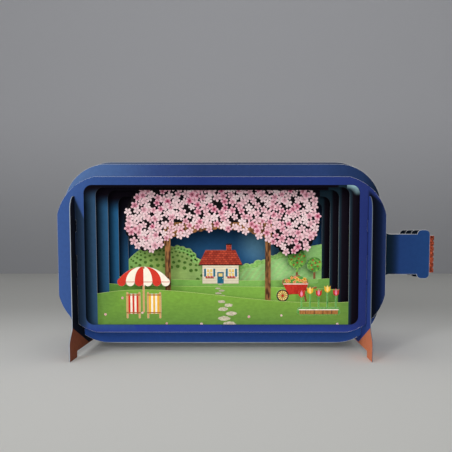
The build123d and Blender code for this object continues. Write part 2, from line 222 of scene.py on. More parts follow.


# Sheets of the bottle, printed blue like glass, with painted light: lighter on the left shoulder as if lit
# from the left, darker at the right, a painted shadow of the front sheet where the second sheet's neck
# begins, and the necks behind dark in painted shade. Blue on the neck. Stops are millimetres from the middle
# of the bottle, with the colour there.
bottle = {
    "start": -120, "length": 280,
    "front": [(-113, "#395884"), (-104, "#38548C"), (-77, "#2E4980"), (-48, "#2A417C"), (-15, "#203370"),
              (70, "#213371"), (98, "#232F66"), (113, "#233169")],
    # painted shadow of the side walls on the front sheet: near black next to each wall
    "wallShadowStops": [(-101.4, "#38548C"), (-100.6, "#111B27"), (-94.5, "#273A54"), (-93, "#2E4980"),
                    (-77, "#2E4980"), (-48, "#2A417C"), (-15, "#203370"), (70, "#213371"),
                    (100.4, "#232F67"), (101.2, "#03050D"), (105.5, "#040916"), (109.5, "#0A1732"),
                    (111.5, "#1B294F"), (113, "#203159")],
    "second": [(-113, "#55719F"), (-77, "#435E8E"), (-48, "#314577"), (-15, "#273A66"), (70, "#273C6A"),
               (100, "#1C2F53"), (112, "#09121C"), (117, "#041724"), (121, "#0B1C2C"), (124, "#112648"),
               (127, "#1D3869"), (151, "#1D3D6D")],
    "behind": [(-113, "#4E6387"), (-77, "#384C6C"), (-48, "#2A3D5E"), (-15, "#203455"), (70, "#1D2F53"),
               (100, "#15213A"), (112, "#080D15"), (151, "#0C1420")],
    "frontFoot": "#263982", "secondFoot": "#223F7C", "behindFoot": "#1E315B", "footAt": (-43, -50),
    # a painted highlight on the second sheet's shoulder: colour, middle, and where it starts and ends
    "glint": "#AED7E1", "glintPlace": (88.5, 0, 41.5), "glintRing": (4.6, 8.2), "glintFrom": (41.5, 45.5),
    "glintTo": 50,
    # inside, as seen through the front window: a dark night that is partly print and partly painted shade,
    # deepening away from a teal edge by the right-hand end of each window, and a painted shadow of the sheet
    # in front at the left of each band
    "nightAndShade": "#110B15", "nightEdge": "#1E323D", "nightFade": 2.8, "nightInset": 8, "bandShadow": "#111A23",
    "bandShadowFade": (8.6, 0.8), "back": "#34589E", "backFrom": 0.5,
    "viewReach": (101, 51.9), "viewRounding": 9, "viewSoft": 1.5, "groundBottom": -53.5, "groundTop": 20,
    # cut edges of the windows: grass-green at the ground, elsewhere painted shade, darkest under the headers
    "cutGrass": "#D7EC91", "cutInShade": "#8D97A5", "cutInDeepShade": "#1B1B21", "cutReach": 16,
}
grounds = {
    # half the window, the dusk's colour, the height above which it turns to the night's dark, a painted
    # shade under the headers, and how far down that fade reaches, then the greens at the left, the right
    # and, darker in painted shade, the foot of the ground
    "lawn_frame": (90.5, "#355575", 47.5, 10, "#78A43F", "#7CA43F", "#5E843E"),
    "meadow_frame": (85.5, "#316189", 44, 12, "#6D9E42", "#90C04E", "#5B8D3D"),
    "field_frame": (81.3, "#2C6B9A", 42, 13, "#7BB04E", "#94CD66", "#649945"),
    "hill_frame": (77.2, "#275A84", 39, 51, "#8CA046", "#BDF09E", "#9FDA7B"),
}


def blueRampWithPaintedLight(tree, x, stops):
    # the blue of the bottle along its length, with its painted light and shade
    start, length = bottle["start"], bottle["length"]
    ramp = addNode(tree, "ValToRGB", [addNode(tree, "MapRange", [x, start, start + length, 0, 1])])
    setStops(ramp, [((at - start) / length, colour) for at, colour in stops])
    return ramp


def backPlain(tree, colour):
    # the backs of the sheets are printed in one plain blue
    behind = addNode(tree, "Math", [faceNormal(tree)["Y"], bottle["backFrom"]], operation="GREATER_THAN")
    return addNode(tree, "Mix", {0: behind, 6: colour, 7: bottle["back"]})


def pastView(tree, x, z, reach=bottle["viewReach"]):
    # 0 on what is seen through the front window, 1 outside a rounded rectangle of this reach
    rounding, soft = bottle["viewRounding"], bottle["viewSoft"]
    away = addNode(tree, "VectorMath", [addNode(tree, "CombineXYZ", [x, z])], operation="ABSOLUTE")
    corner = addNode(tree, "VectorMath", [away, (reach[0] - rounding, reach[1] - rounding, 0)],
                     operation="SUBTRACT")
    outside = addNode(tree, "VectorMath", [corner, (0, 0, 0)], operation="MAXIMUM")
    distance = addNode(tree, "VectorMath", [outside], operation="LENGTH")
    return addNode(tree, "MapRange", [distance, rounding - soft, rounding + soft, 0, 1], **smooth)


def eveningInside(tree, x, z, half, dusk, duskTop, duskReach):
    # dusk on the left, with a painted shadow of the sheet in front at each band's outer side and painted
    # shade under the headers; night above and on the right, partly print and partly painted shade, with a
    # teal edge along each window
    farSide, nearSide = bottle["bandShadowFade"]
    # painted shadow: each band darkens towards the edge of the sheet in front of it
    shade = addNode(tree, "MapRange", [x, -half - farSide, -half - nearSide, 1, 0])
    withPaintedShade = addNode(tree, "Mix", {0: shade, 6: dusk, 7: bottle["bandShadow"]})
    leftward = addNode(tree, "Math", [x, 0], operation="LESS_THAN")
    # painted shade under the headers: the dusk turns dark towards the top of each window
    low = addNode(tree, "MapRange", [z, duskTop, duskTop - duskReach, 0, 1], **smooth)
    evening = addNode(tree, "Math", [leftward, low], operation="MULTIPLY")
    # partly print, partly painted shade: on the right the dark deepens away from a teal edge at each window
    teal = addNode(tree, "MapRange", [x, half, half + bottle["nightFade"], 1, 0], **smooth)
    rightEnd = addNode(tree, "Math", [x, half - bottle["nightInset"]], operation="GREATER_THAN")
    tealRight = addNode(tree, "Math", [teal, rightEnd], operation="MULTIPLY")
    nightAndShade = addNode(tree, "Mix", {0: tealRight, 6: bottle["nightAndShade"], 7: bottle["nightEdge"]})
    return addNode(tree, "Mix", {0: evening, 6: nightAndShade, 7: withPaintedShade})


# The hill on the right is sown in rows, which curve round one far point
hills = {"rowCentre": (128, 0, -96), "rowPitch": 3.7, "rowRise": (-0.2, 0.7), "row": "#A9E38D",
         "rowsFrom": 4.0}


def hillside(tree, place, x, plain):
    # curved rows of young crops on the right-hand hill
    reach = distanceTo(tree, place, hills["rowCentre"])
    turns = addNode(tree, "Math", [reach, 2 * math.pi / hills["rowPitch"]], operation="MULTIPLY")
    wave = addNode(tree, "Math", [turns], operation="SINE")
    row = addNode(tree, "MapRange", [wave, *hills["rowRise"], 0, 1], **smooth)
    rightward = addNode(tree, "Math", [x, hills["rowsFrom"]], operation="GREATER_THAN")
    sown = addNode(tree, "Math", [row, rightward], operation="MULTIPLY")
    return addNode(tree, "Mix", {0: sown, 6: plain, 7: hills["row"]})


def sheetBlueWithPaintedLight(tree, x, z, stops, foot):
    # the blue of one sheet: its gradient along the bottle with painted light and shade, and an even blue
    # along the bottom
    low = addNode(tree, "MapRange", [z, *bottle["footAt"], 0, 1], **smooth)
    return addNode(tree, "Mix", {0: low, 6: blueRampWithPaintedLight(tree, x, stops), 7: foot})


# Grass is darker towards its foot and its ends, a painted shade, and printed in short brushed strokes
grass = {"footHeights": (-30, -50), "footShare": 0.8, "sideReach": 28, "sideShare": 0.7,
         "strokesPerMm": 1.0, "strokeStretch": (0.35, 1, 0.9), "strokeRange": (0.35, 0.65),
         "strokeLevels": (0.94, 1.05)}


def sheetMaterial(name):
    # blue glass with painted light outside the front window's view, evening with painted shade inside it,
    # and green ground under the window
    half, dusk, duskTop, duskReach, left, right, foot = grounds[name]
    material, tree, place = startPrint(name.split("_")[0] + "PrintedCard")
    x, y, z = addNode(tree, "SeparateXYZ", [place]).outputs
    absX = addNode(tree, "Math", [x], operation="ABSOLUTE")
    order = "second" if name == "lawn_frame" else "behind"
    paintedLightBlue = sheetBlueWithPaintedLight(tree, x, z, bottle[order], bottle[order + "Foot"])
    inside = eveningInside(tree, x, z, half, dusk, duskTop, duskReach)
    # painted highlight: a light crescent at the top right corner of the second sheet's window
    if name == "lawn_frame":
        middle = bottle["glintPlace"]
        away = distanceTo(tree, place, middle)
        glint = addNode(tree, "MapRange", [away, *bottle["glintRing"], 0, 1], **smooth)
        for limit in (addNode(tree, "Math", [x, middle[0]], operation="GREATER_THAN"),
                      addNode(tree, "MapRange", [z, *bottle["glintFrom"], 0, 1], **smooth),
                      addNode(tree, "Math", [z, bottle["glintTo"]], operation="LESS_THAN")):
            glint = addNode(tree, "Math", [glint, limit], operation="MULTIPLY")
        inside = addNode(tree, "Mix", {0: glint, 6: inside, 7: bottle["glint"]})
    past = pastView(tree, x, z)
    body = addNode(tree, "Mix", {0: past, 6: inside, 7: paintedLightBlue})
    sideways = addNode(tree, "MapRange", [x, -half, half, 0, 1])
    turf = addNode(tree, "Mix", {0: sideways, 6: left, 7: right})
    if name == "hill_frame":
        turf = hillside(tree, place, x, turf)
    # painted shade: the grass darkens towards its foot and its ends
    low = addNode(tree, "MapRange", [z, *grass["footHeights"], 0, grass["footShare"]])
    side = addNode(tree, "MapRange", [absX, half - grass["sideReach"], half, 0, grass["sideShare"]],
                   **smooth)
    corner = addNode(tree, "Math", [low, side], operation="MAXIMUM")
    withPaintedShade = addNode(tree, "Mix", {0: corner, 6: turf, 7: foot})
    stretched = addNode(tree, "Mapping", {0: place, 3: grass["strokeStretch"]})
    strokes = addNode(tree, "TexNoise", {0: stretched, 2: grass["strokesPerMm"], 3: 3})
    levels = addNode(tree, "MapRange", [strokes, *grass["strokeRange"], *grass["strokeLevels"]])
    brushed = addNode(tree, "Mix", {0: 1.0, 6: withPaintedShade, 7: levels}, blend_type="MULTIPLY")
    ground = addNode(tree, "Math", [absX, half], operation="LESS_THAN")
    for limit in (addNode(tree, "Math", [z, bottle["groundTop"]], operation="LESS_THAN"),
                  addNode(tree, "Math", [z, bottle["groundBottom"]], operation="GREATER_THAN")):
        ground = addNode(tree, "Math", [ground, limit], operation="MULTIPLY")
    front = addNode(tree, "Mix", {0: ground, 6: body, 7: brushed})
    # painted shade on the windows' cut edges, darkest under the headers
    topCut = addNode(tree, "MapRange", [z, duskTop, duskTop - bottle["cutReach"], 0, 1])
    sideCut = addNode(tree, "Mix", {0: topCut, 6: bottle["cutInDeepShade"], 7: bottle["cutInShade"]})
    windowCut = addNode(tree, "Mix", {0: ground, 6: sideCut, 7: bottle["cutGrass"]})
    edge = addNode(tree, "Mix", {0: past, 6: windowCut, 7: cardFinish["core"]})
    return finishPrint(material, place, backPlain(tree, front), edge=edge)


for name in grounds:
    dress(name, sheetMaterial(name))

# The front sheet: the same blue, with a painted shadow of each side wall cast on it next to the wall. The
# shadow's top slopes away from each wall; its slope and how far it is raised are given for the left and the
# right wall.
frontSheet = {"wallAt": 100.8, "slotHalf": 0.8, "window": (96.5, 50.0), "shadeSlope": (2.2, 0.9),
              "shadeRaise": (0, 5), "shadeTop": (41, 37), "shadeFoot": (-55, -47)}
material, tree, place = startPrint("frontPrintedCard")
x, y, z = addNode(tree, "SeparateXYZ", [place]).outputs
absX = addNode(tree, "Math", [x], operation="ABSOLUTE")
# painted shade: the cut edges in the window and the wall slots are near black, elsewhere the pale core shows
fromWall = addNode(tree, "Math", [absX, frontSheet["wallAt"]], operation="SUBTRACT")
offWall = addNode(tree, "Math", [fromWall], operation="ABSOLUTE")
offSlot = addNode(tree, "Math", [offWall, frontSheet["slotHalf"]], operation="GREATER_THAN")
pale = addNode(tree, "Math", [pastView(tree, x, z, frontSheet["window"]), offSlot], operation="MULTIPLY")
edge = addNode(tree, "Mix", {0: pale, 6: bottle["nightAndShade"], 7: cardFinish["core"]})
whichEnd = addNode(tree, "Math", [x], operation="SIGN")
rightOfWall = addNode(tree, "Math", [fromWall, whichEnd], operation="MULTIPLY")
slope, raised = [addNode(tree, "MapRange", [x, -1, 1, *frontSheet[key]])
                 for key in ("shadeSlope", "shadeRaise")]
lowered = addNode(tree, "Math", [z, raised], operation="SUBTRACT")
line = addNode(tree, "Math", [rightOfWall, slope, lowered], operation="MULTIPLY_ADD")
below = addNode(tree, "MapRange", [line, *frontSheet["shadeTop"], 0, 1], **smooth)
above = addNode(tree, "MapRange", [z, *frontSheet["shadeFoot"], 0, 1], **smooth)
# painted shadow: where the side walls' shadows fall on the front sheet
inWallShadow = addNode(tree, "Math", [below, above], operation="MULTIPLY")
openBlue = sheetBlueWithPaintedLight(tree, x, z, bottle["front"], bottle["frontFoot"])
frontBlue = addNode(tree, "Mix", {0: inWallShadow, 6: openBlue, 7: blueRampWithPaintedLight(tree, x, bottle["wallShadowStops"])})
frontPrint = finishPrint(material, place, backPlain(tree, frontBlue), edge=edge)
dress("front_frame", frontPrint, cardFinish["frontRim"])

# The sky: deep blue, darker towards the top, with a soft glow low on the right under the arch
sky = {"high": "#121A2B", "low": "#2B5F8D", "glow": "#7BB4D2", "glowPlace": (30, 0, 8), "glowSize": 26,
       "glowShare": 0.75, "lowAt": -6, "highAt": 40}
material, tree, place = startPrint("skyPrintedCard")
x, y, z = addNode(tree, "SeparateXYZ", [place]).outputs
height = addNode(tree, "MapRange", [z, sky["lowAt"], sky["highAt"], 0, 1], **smooth)
deep = addNode(tree, "Mix", {0: height, 6: sky["low"], 7: sky["high"]})
away = distanceTo(tree, place, sky["glowPlace"])
halo = addNode(tree, "MapRange", [away, sky["glowSize"], 0, 0, sky["glowShare"]],
               interpolation_type="SMOOTHERSTEP")
lit = addNode(tree, "Mix", {0: halo, 6: deep, 7: sky["glow"]})
skyFace = addNode(tree, "Mix", {0: pastView(tree, x, z), 6: lit, 7: bottle["back"]})
dress("sky_panel", finishPrint(material, place, backPlain(tree, skyFace)))

# The side walls: blue, near black inside on the left, with cork-brown feet, in a shaded copy for the left
# wall and a lit copy for the right: painted shade darkens the left wall's blue, feet and inner face, and
# painted light brightens the right wall's blue and feet
walls = {"leftBlue": "#2D407B", "rightBlue": "#3F58AF", "inside": "#131723", "insideFrom": 0.5,
         "toeReach": 65, "footSlope": (8, 52), "footHeights": (22, 5), "patchesPerMm": 0.35,
         "leftFoot": ("#7F4632", "#96563C"), "rightFoot": ("#FE8961", "#FFA376"),
         "leftCut": "#9DA5AD", "rightCut": "#67707A"}
for name, side, dark in (("left_side_wall", "left", 1), ("right_side_wall", "right", 0)):
    material, tree, place = startPrint(name.split("_")[0] + "WallPrintedCard")
    x, y, z = addNode(tree, "SeparateXYZ", [place]).outputs
    # painted shade: the left wall's inner face, turned away from the lamps, is near black
    rightFace = addNode(tree, "Math", [faceNormal(tree)["X"], walls["insideFrom"]], operation="GREATER_THAN")
    inner = addNode(tree, "Math", [rightFace, dark], operation="MULTIPLY")
    face = addNode(tree, "Mix", {0: inner, 6: walls[side + "Blue"], 7: walls["inside"]})
    # the brown print is highest at the toe of each foot and falls to the lower edge further in
    absY = addNode(tree, "Math", [y], operation="ABSOLUTE")
    fromToe = addNode(tree, "Math", [walls["toeReach"], absY], operation="SUBTRACT")
    high, low = [height - axisZ / mm for height in walls["footHeights"]]
    edgeLine = addNode(tree, "MapRange", [fromToe, *walls["footSlope"], high, low])
    brown = addNode(tree, "Math", [z, edgeLine], operation="LESS_THAN")
    # painted light and shade: lit brown on the right foot, shaded brown on the left
    darkBrown, lightBrown = walls[side + "Foot"]
    patches = addNode(tree, "TexNoise", {0: place, 2: walls["patchesPerMm"], 3: 4})
    foot = addNode(tree, "Mix", {0: patches, 6: darkBrown, 7: lightBrown})
    both = addNode(tree, "Mix", {0: brown, 6: face, 7: foot})
    dress(name, finishPrint(material, place, both, "X", walls[side + "Cut"]), cardFinish["wallRim"])
print("sheets and walls printed")

# Cork: a print of pressed cork granules, 1 to 2 mm across, with dark gaps
cork = {"grain": 1.3, "light": "#C05A3C", "dark": "#7E3422", "gap": "#4B1D12", "gapShare": 0.1}
material, tree, place = startPrint("corkPrintedCard")
granule = addNode(tree, "Mix", {0: patchShade(tree, place, 1 / cork["grain"]), 6: cork["dark"],
                                7: cork["light"]})
gaps = addNode(tree, "TexVoronoi", {0: place, 2: 1 / cork["grain"]}, feature="DISTANCE_TO_EDGE")
near = addNode(tree, "Math", [gaps, cork["gapShare"]], operation="LESS_THAN")
speckled = addNode(tree, "Mix", {0: near, 6: granule, 7: cork["gap"]})
dress("cork_tab", finishPrint(material, place, speckled))

# Printed shapes: each colour of ink is a thin flat layer on the face of its cut-out. A real ink film is
# about 0.02 mm. It is drawn as 0.05 mm, the least at which layers keep apart in a mesh of this size.
layer = 0.05
sunk = 0.2  # the share of a layer that lies in the card, so that no two faces share a plane


def ink(name, light, dark, grain=2.0, stretch=(1, 1, 1)):
    # one printed colour, with the uneven strokes of a brush-drawn original between two close tones
    material, tree, place = startPrint(name)
    stretched = addNode(tree, "Mapping", {0: place, 3: stretch})
    strokes = addNode(tree, "TexNoise", {0: stretched, 2: 1 / grain, 3: 3})
    level = addNode(tree, "MapRange", [strokes, *cardFinish["strokeRange"], 0, 1])
    colour = addNode(tree, "Mix", {0: level, 6: dark, 7: light})
    return finishPrint(material, place, colour)


inks = {
    "red": ink("redInk", "#D03A2C", "#B92B22"), "cream": ink("creamInk", "#F6ECD8", "#E8DBC2"),
    "white": ink("whiteInk", "#F8F5EE", "#EAE6DC"), "yellow": ink("yellowInk", "#EFBB3C", "#DD9F28"),
    "teal": ink("tealInk", "#2F7790", "#22607A"), "leaf": ink("leafInk", "#63A84A", "#458A3A"),
    "bush": ink("bushInk", "#B2E283", "#86C461", 1.4), "lamp": ink("lamplightInk", "#FBDC8A", "#F2C564"),
    "wood": ink("woodInk", "#B57A45", "#8E5A30", 1.0, (1, 1, 0.25)),
    "dark": ink("darkInk", "#2A2426", "#1C191C"),
    "stone": ink("stoneInk", "#D3C9B0", "#B2A890", 1.4), "rose": ink("roseInk", "#EC93AA", "#DC7390"),
    "orchard": ink("orchardInk", "#648E39", "#416427", 0.8),
}


def disc(x, z, across, up=None, count=20):
    up = across if up is None else up
    turns = [2 * math.pi * n / count for n in range(count)]
    return [(x + across * math.cos(t), z + up * math.sin(t)) for t in turns]


def bar(x0, z0, x1, z1, width):
    length = math.hypot(x1 - x0, z1 - z0)
    sideX, sideZ = (z0 - z1) / length * width / 2, (x1 - x0) / length * width / 2
    return [(x0 + sideX, z0 + sideZ), (x0 - sideX, z0 - sideZ),
            (x1 - sideX, z1 - sideZ), (x1 + sideX, z1 + sideZ)]


def panel(x0, z0, x1, z1):
    return [(x0, z0), (x1, z0), (x1, z1), (x0, z1)]


def spot(node):  # the middle and the foot of a cut-out, in millimetres from the bottle axis
    low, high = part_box(node)
    return ((low.x + high.x) / 2 - axisX) / mm, (low.z - axisZ) / mm


def skyline(node, places, fromHeight=30):
    # the height of a sheet's ground at each place, found by looking down on it from inside its window
    mesh = nodes[node].data
    tree = BVHTree.FromPolygons([v.co for v in mesh.vertices], [p.vertices for p in mesh.polygons])
    low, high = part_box(node)
    heights = []
    for x in places:
        start = Vector((axisX + x * mm, (low.y + high.y) / 2, axisZ + fromHeight * mm))
        heights.append((tree.ray_cast(start, Vector((0, 0, -1)))[0].z - axisZ) / mm)
    return heights


def printOn(name, carrier, shapes, origin=(0, 0)):
    # closed flat prisms on the carrier's face; shapes are (ink, outline from the origin, how many layers up)
    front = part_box(carrier)[0].y
    originX, originZ = origin
    used = sorted({inkName for inkName, outline, up in shapes})
    bm = bmesh.new()
    for inkName, outline, up in shapes:
        rings = [[bm.verts.new((axisX + (originX + x) * mm, y, axisZ + (originZ + z) * mm))
                  for x, z in outline] for y in (front - up * layer * mm, front + sunk * layer * mm)]
        faces = [bm.faces.new(rings[0]), bm.faces.new(rings[1])]
        for n in range(len(outline)):
            m = (n + 1) % len(outline)
            faces.append(bm.faces.new([rings[0][n], rings[0][m], rings[1][m], rings[1][n]]))
        for face in faces:
            face.material_index = used.index(inkName)
    bmesh.ops.recalc_face_normals(bm, faces=bm.faces)
    mesh = bpy.data.meshes.new(name)
    bm.to_mesh(mesh)
    bm.free()
    for inkName in used:
        mesh.materials.append(inks[inkName])
    piece = addObject(name, mesh)
    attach(piece, "root")


# Hedges: a leafy band just under the skyline of the hills, where the bushes stand. Its lower edge lies half
# its depth under the lowest skyline within a few steps on either side.
hedges = {"spans": [(-40, -20), (9, 51)], "step": 0.5, "inset": 0.5, "depth": 4.6, "around": 8}
shapes = []
for start, stop in hedges["spans"]:
    around = hedges["around"]
    places = [start + n * hedges["step"] for n in range(int((stop - start) / hedges["step"]) + 1)]
    top = [height - hedges["inset"] for height in skyline("hill_frame", places)]
    foot = [min(top[max(0, n - around):n + around + 1]) - hedges["depth"] / 2 for n in range(len(places))]
    shapes.append(("bush", list(zip(places, top)) + list(zip(reversed(places), reversed(foot))), 1))
printOn("hedgePrint", "hill_frame", shapes)

# Orchard: rows of small round trees that follow the left-hand hill and grow towards the viewer
orchard = {
    "from": -75, "to": -16, "height": 0.85, "corners": 8,  # a crown's height is a share of its width
    "rows": [(2.3, 0.75, 2.5), (5.0, 0.95, 3.1), (8.4, 1.15, 3.7),  # drop below the skyline, radius, spacing
             (12.4, 1.4, 4.5), (17.0, 1.65, 5.3)],
}
shapes = []
for n, (drop, radius, spacing) in enumerate(orchard["rows"]):
    count = int((orchard["to"] - orchard["from"]) / spacing)
    places = [orchard["from"] + (k + 0.5 * (n % 2)) * spacing for k in range(count)]
    for x, height in zip(places, skyline("hill_frame", places)):
        crown = disc(x, height - drop, radius, radius * orchard["height"], orchard["corners"])
        shapes.append(("orchard", crown, 1))
printOn("orchardPrint", "hill_frame", shapes)

# Cottage: cream boards, a red tiled roof with a painted shadow under its eaves, a chimney cap, a door and
# two lit windows with flowers under them. A panel is its ink, its left, bottom, right and top from the
# middle of the cottage's foot, or from the middle of a window, and how many layers up it lies.
cottage = {
    "board": 2.1, "gap": 0.3, "tile": (2.4, 1.5), "mortar": 0.12, "eaves": 14.5, "wall": "#F0E3C6",
    "wallShade": "#D3C3A0", "tileLight": "#C94F38", "tileDark": "#983327", "tileGap": "#5C1F1B",
    # the first dark panel is a painted shadow under the eaves
    "panels": [("dark", (-16.8, 14.1, 16.8, 14.8), 1), ("dark", (4.2, 29.9, 8.8, 31.0), 1),
               ("cream", (-3.2, 0.2, 3.2, 9.6), 1), ("teal", (-2.5, 0.2, 2.5, 9.0), 2),
               ("lamp", (-1.5, 5.6, 1.5, 8.0), 3)],
    "doorKnob": (1.7, 4.0, 0.35), "windowsAt": (-8.4, 8.4),
    "window": [("teal", (-4.3, 5.4, 4.3, 11.6), 1), ("white", (-2.8, 5.2, 2.8, 11.8), 2),
               ("lamp", (-2.2, 5.9, 2.2, 11.2), 3), ("white", (-0.25, 5.9, 0.25, 11.2), 4),
               ("white", (-2.2, 8.3, 2.2, 8.8), 4), ("wood", (-3.2, 4.0, 3.2, 5.2), 3)],
    "flowers": 6, "firstFlower": -2.6, "flowerPitch": 1.04, "flowerHeight": 5.3, "flowerRadius": 0.62,
}
material, tree, place = startPrint("cottagePrintedCard")
x, y, z = addNode(tree, "SeparateXYZ", [place]).outputs
up = addNode(tree, "Math", [z, spot("cottage")[1]], operation="SUBTRACT")
flat = addNode(tree, "CombineXYZ", [x, up])
tileWidth, tileHeight = cottage["tile"]
tiles = addNode(tree, "TexBrick", {0: flat, 1: cottage["tileLight"], 2: cottage["tileDark"],
                                   3: cottage["tileGap"], "Scale": 1.0, "Mortar Size": cottage["mortar"],
                                   "Brick Width": tileWidth, "Row Height": tileHeight})
course = addNode(tree, "Math", [up, cottage["board"]], operation="MODULO")
board = addNode(tree, "Math", [course, cottage["gap"]], operation="LESS_THAN")
boards = addNode(tree, "Mix", {0: board, 6: cottage["wall"], 7: cottage["wallShade"]})
onRoof = addNode(tree, "Math", [up, cottage["eaves"]], operation="GREATER_THAN")
cottageColour = addNode(tree, "Mix", {0: onRoof, 6: boards, 7: tiles})
dress("cottage", finishPrint(material, place, cottageColour), cardFinish["cutOutRim"])

shapes = [(inkName, panel(*sides), layers) for inkName, sides, layers in cottage["panels"]]
shapes.append(("lamp", disc(*cottage["doorKnob"], count=8), 3))
for middle in cottage["windowsAt"]:
    for inkName, (left, bottom, right, top), layers in cottage["window"]:
        shapes.append((inkName, panel(middle + left, bottom, middle + right, top), layers))
    for n in range(cottage["flowers"]):
        x = middle + cottage["firstFlower"] + n * cottage["flowerPitch"]
        bloom = disc(x, cottage["flowerHeight"], cottage["flowerRadius"], count=8)
        shapes.append(("rose" if n % 2 else "red", bloom, 4))
printOn("cottagePrint", "cottage", shapes, spot("cottage"))
print("cottage printed")

# Round trees: clipped crowns with leaf-sized dabs of green, and small red fruit in a spiral. Places are from
# the middle of the foot. A crown is its middle, the radius its fruit keep within, and how many there are.
trees = {"dab": 1.1, "light": "#8CC456", "dark": "#3F7D34", "trunk": "#8A5A35", "tuft": "#8FC266",
         "crowns": [(-5.95, 19.0, 7.4, 9), (7.55, 14.5, 5.8, 6)], "crownFoot": 8.5, "tuftTop": 3.4,
         "fruit": 0.62, "fruitTurn": 2.4, "fruitReach": 0.8}
treeFoot = spot("round_trees")[1]
crownFoot, tuftTop = treeFoot + trees["crownFoot"], treeFoot + trees["tuftTop"]
material, tree, place = startPrint("treesPrintedCard")
x, y, z = addNode(tree, "SeparateXYZ", [place]).outputs
foliage = addNode(tree, "Mix", {0: patchShade(tree, place, 1 / trees["dab"]), 6: trees["dark"],
                                7: trees["light"]})
onCrown = addNode(tree, "Math", [z, crownFoot], operation="GREATER_THAN")
onTuft = addNode(tree, "Math", [z, tuftTop], operation="LESS_THAN")
stem = addNode(tree, "Mix", {0: onTuft, 6: trees["trunk"], 7: trees["tuft"]})
treeColour = addNode(tree, "Mix", {0: onCrown, 6: stem, 7: foliage})
dress("round_trees", finishPrint(material, place, treeColour), cardFinish["cutOutRim"])
shapes = []
for n, (x, z, radius, count) in enumerate(trees["crowns"]):
    for k in range(count):
        turn = trees["fruitTurn"] * k + n
        reach = radius * trees["fruitReach"] * math.sqrt((k + 0.5) / count)
        fruit = disc(x + reach * math.cos(turn), z + reach * math.sin(turn), trees["fruit"], count=8)
        shapes.append(("red", fruit, 1))
printOn("treeFruitPrint", "round_trees", shapes, spot("round_trees"))

# Wheelbarrow: a red tub with a cream band and leaves over it, a spoked wheel and wooden handles. Places are
# from the middle of the tub, and that is given from the lower left corner of the cut-out.
barrow = {"tubFromCorner": (13.6, 7.6), "tub": [(-9.0, 6.4), (-5.0, -1.9), (7.0, -1.9), (10.4, 6.4)],
          "band": (-8.6, 5.7, 10.0, 5.7, 0.7),
          "leaves": [(-8.4, 6.5), (9.6, 6.5), (9.2, 8.6), (5.0, 11.4), (-3.6, 11.2), (-8.2, 8.2)],
          "wheel": (-9.0, -3.0), "tyre": 4.55, "rim": 3.7, "hub": 1.0, "spokes": 6, "spoke": 0.32}
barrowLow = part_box("wheelbarrow")[0]
barrowPlace = ((barrowLow.x - axisX) / mm + barrow["tubFromCorner"][0],
               (barrowLow.z - axisZ) / mm + barrow["tubFromCorner"][1])
barrowCard = ink("barrowPrintedCard", "#A56A38", "#84522B", 0.8, (0.3, 1, 1))
dress("wheelbarrow", barrowCard, cardFinish["cutOutRim"])
wheelX, wheelZ = barrow["wheel"]
shapes = [("red", barrow["tub"], 1), ("cream", bar(*barrow["band"]), 2), ("leaf", barrow["leaves"], 1),
          ("dark", disc(wheelX, wheelZ, barrow["tyre"], count=32), 2),
          ("lamp", disc(wheelX, wheelZ, barrow["rim"], count=28), 3),
          ("red", disc(wheelX, wheelZ, barrow["hub"], count=12), 5)]
for n in range(barrow["spokes"]):
    turn = math.pi * n / barrow["spokes"]
    outX, outZ = barrow["rim"] * math.cos(turn), barrow["rim"] * math.sin(turn)
    spoke = bar(wheelX - outX, wheelZ - outZ, wheelX + outX, wheelZ + outZ, barrow["spoke"])
    shapes.append(("dark", spoke, 4))
printOn("barrowPrint", "wheelbarrow", shapes, barrowPlace)
print("trees and wheelbarrow printed")

# Parasol: red and cream gores that meet at the top, over a pale wooden pole
parasol = {"gores": 6, "halfWidth": 19.0, "rise": 11.2, "eaves": 22.0, "fringe": 3.05, "red": "#D03A2C",
           "cream": "#F6ECD8", "pole": "#CFA16A", "seam": 0.45, "seamInset": 0.4, "knob": (0.9, 0.8),
           "knobDrop": 1}
parasolX, parasolZ = spot("parasol")
material, tree, place = startPrint("parasolPrintedCard")
x, y, z = addNode(tree, "SeparateXYZ", [place]).outputs
aside = addNode(tree, "Math", [x, parasolX], operation="SUBTRACT")
over = addNode(tree, "Math", [z, parasolZ + parasol["eaves"]], operation="SUBTRACT")
share = addNode(tree, "Math", [over, parasol["rise"]], operation="DIVIDE", use_clamp=True)
squared = addNode(tree, "Math", [share, share], operation="MULTIPLY")
remainder = addNode(tree, "Math", [1, squared], operation="SUBTRACT")
narrow = addNode(tree, "Math", [remainder], operation="SQRT")
halfHere = addNode(tree, "Math", [narrow, parasol["halfWidth"]], operation="MULTIPLY")
meridian = addNode(tree, "Math", [aside, halfHere], operation="DIVIDE")  # -1 to 1 across the cloth
turned = addNode(tree, "Math", [meridian, 1], operation="ADD")
gore = addNode(tree, "Math", [turned, 4 / parasol["gores"]], operation="FLOORED_MODULO")
isRed = addNode(tree, "Math", [gore, 2 / parasol["gores"]], operation="LESS_THAN")
cloth = addNode(tree, "Mix", {0: isRed, 6: parasol["cream"], 7: parasol["red"]})
underEaves = addNode(tree, "Math", [over, -parasol["fringe"]], operation="LESS_THAN")
parasolColour = addNode(tree, "Mix", {0: underEaves, 6: cloth, 7: parasol["pole"]})
dress("parasol", finishPrint(material, place, parasolColour), cardFinish["cutOutRim"])
seamZ, seamX = parasol["eaves"], parasol["halfWidth"] - parasol["seamInset"]
knobZ = seamZ + parasol["rise"] - parasol["knobDrop"]
printOn("parasolPrint", "parasol", [("red", bar(-seamX, seamZ, seamX, seamZ, parasol["seam"]), 1),
                                    ("wood", disc(0, knobZ, *parasol["knob"], 10), 2)],
        (parasolX, parasolZ))

